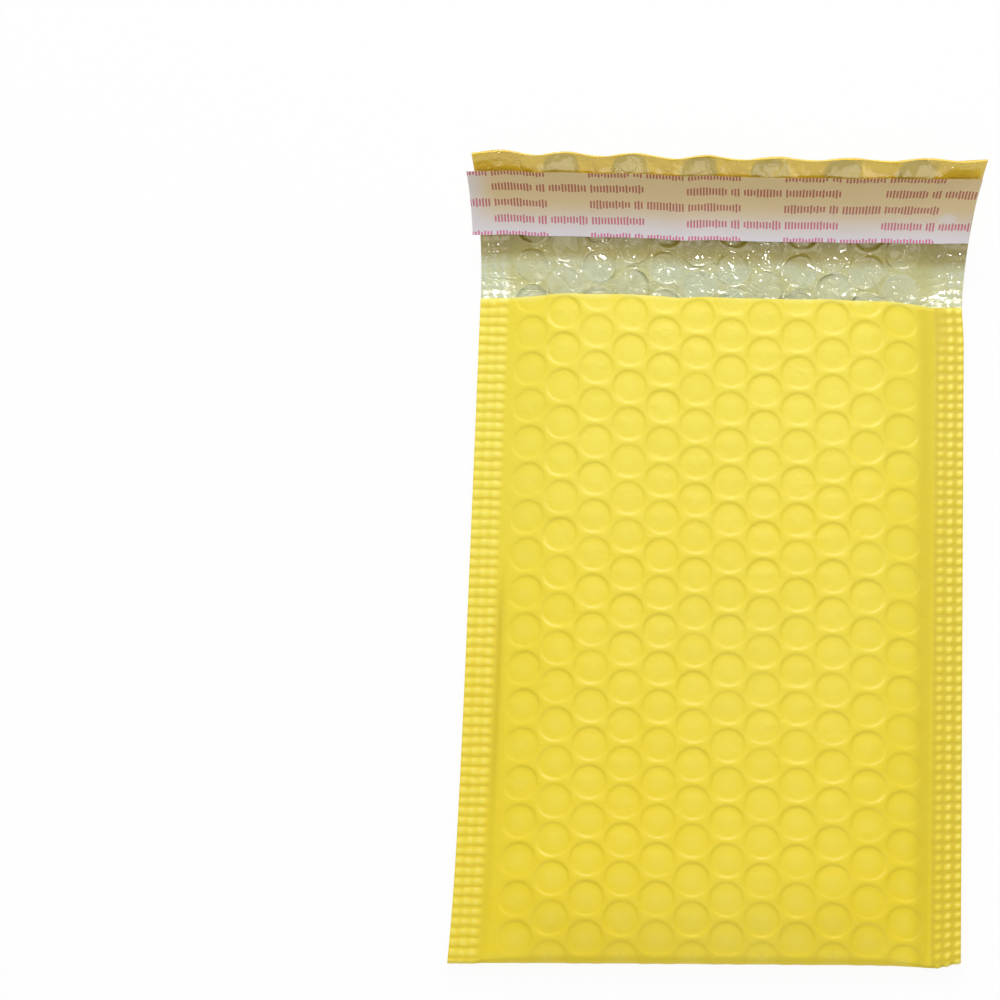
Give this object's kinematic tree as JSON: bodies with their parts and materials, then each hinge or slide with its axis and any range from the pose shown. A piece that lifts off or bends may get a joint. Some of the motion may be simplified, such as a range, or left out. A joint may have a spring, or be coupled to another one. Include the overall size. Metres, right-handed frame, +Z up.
{
  "type": "padded envelope",
  "caption": "Self-seal padded envelope lying on its back: yellow film outside, bubble lining inside, ribbed side seals, flap curled up with its release liner on.",
  "frame": {"origin": "middle of the underside, under the centre of the overall box", "axes": "+Z up through the thickness, +Y along the envelope towards the flap, +X across, to the right seen from above with the flap away"},
  "size_m": [0.155, 0.2516, 0.0241],
  "materials": {
    "film": "satin",
    "lining": "gloss",
    "adhesive": "satin",
    "liner": "satin"
  },
  "bodies": {
    "root": {"outer_film": "film", "bubble_lining": "lining", "adhesive_strip": "adhesive", "release_liner": "liner"}
  },
  "joints": []
}
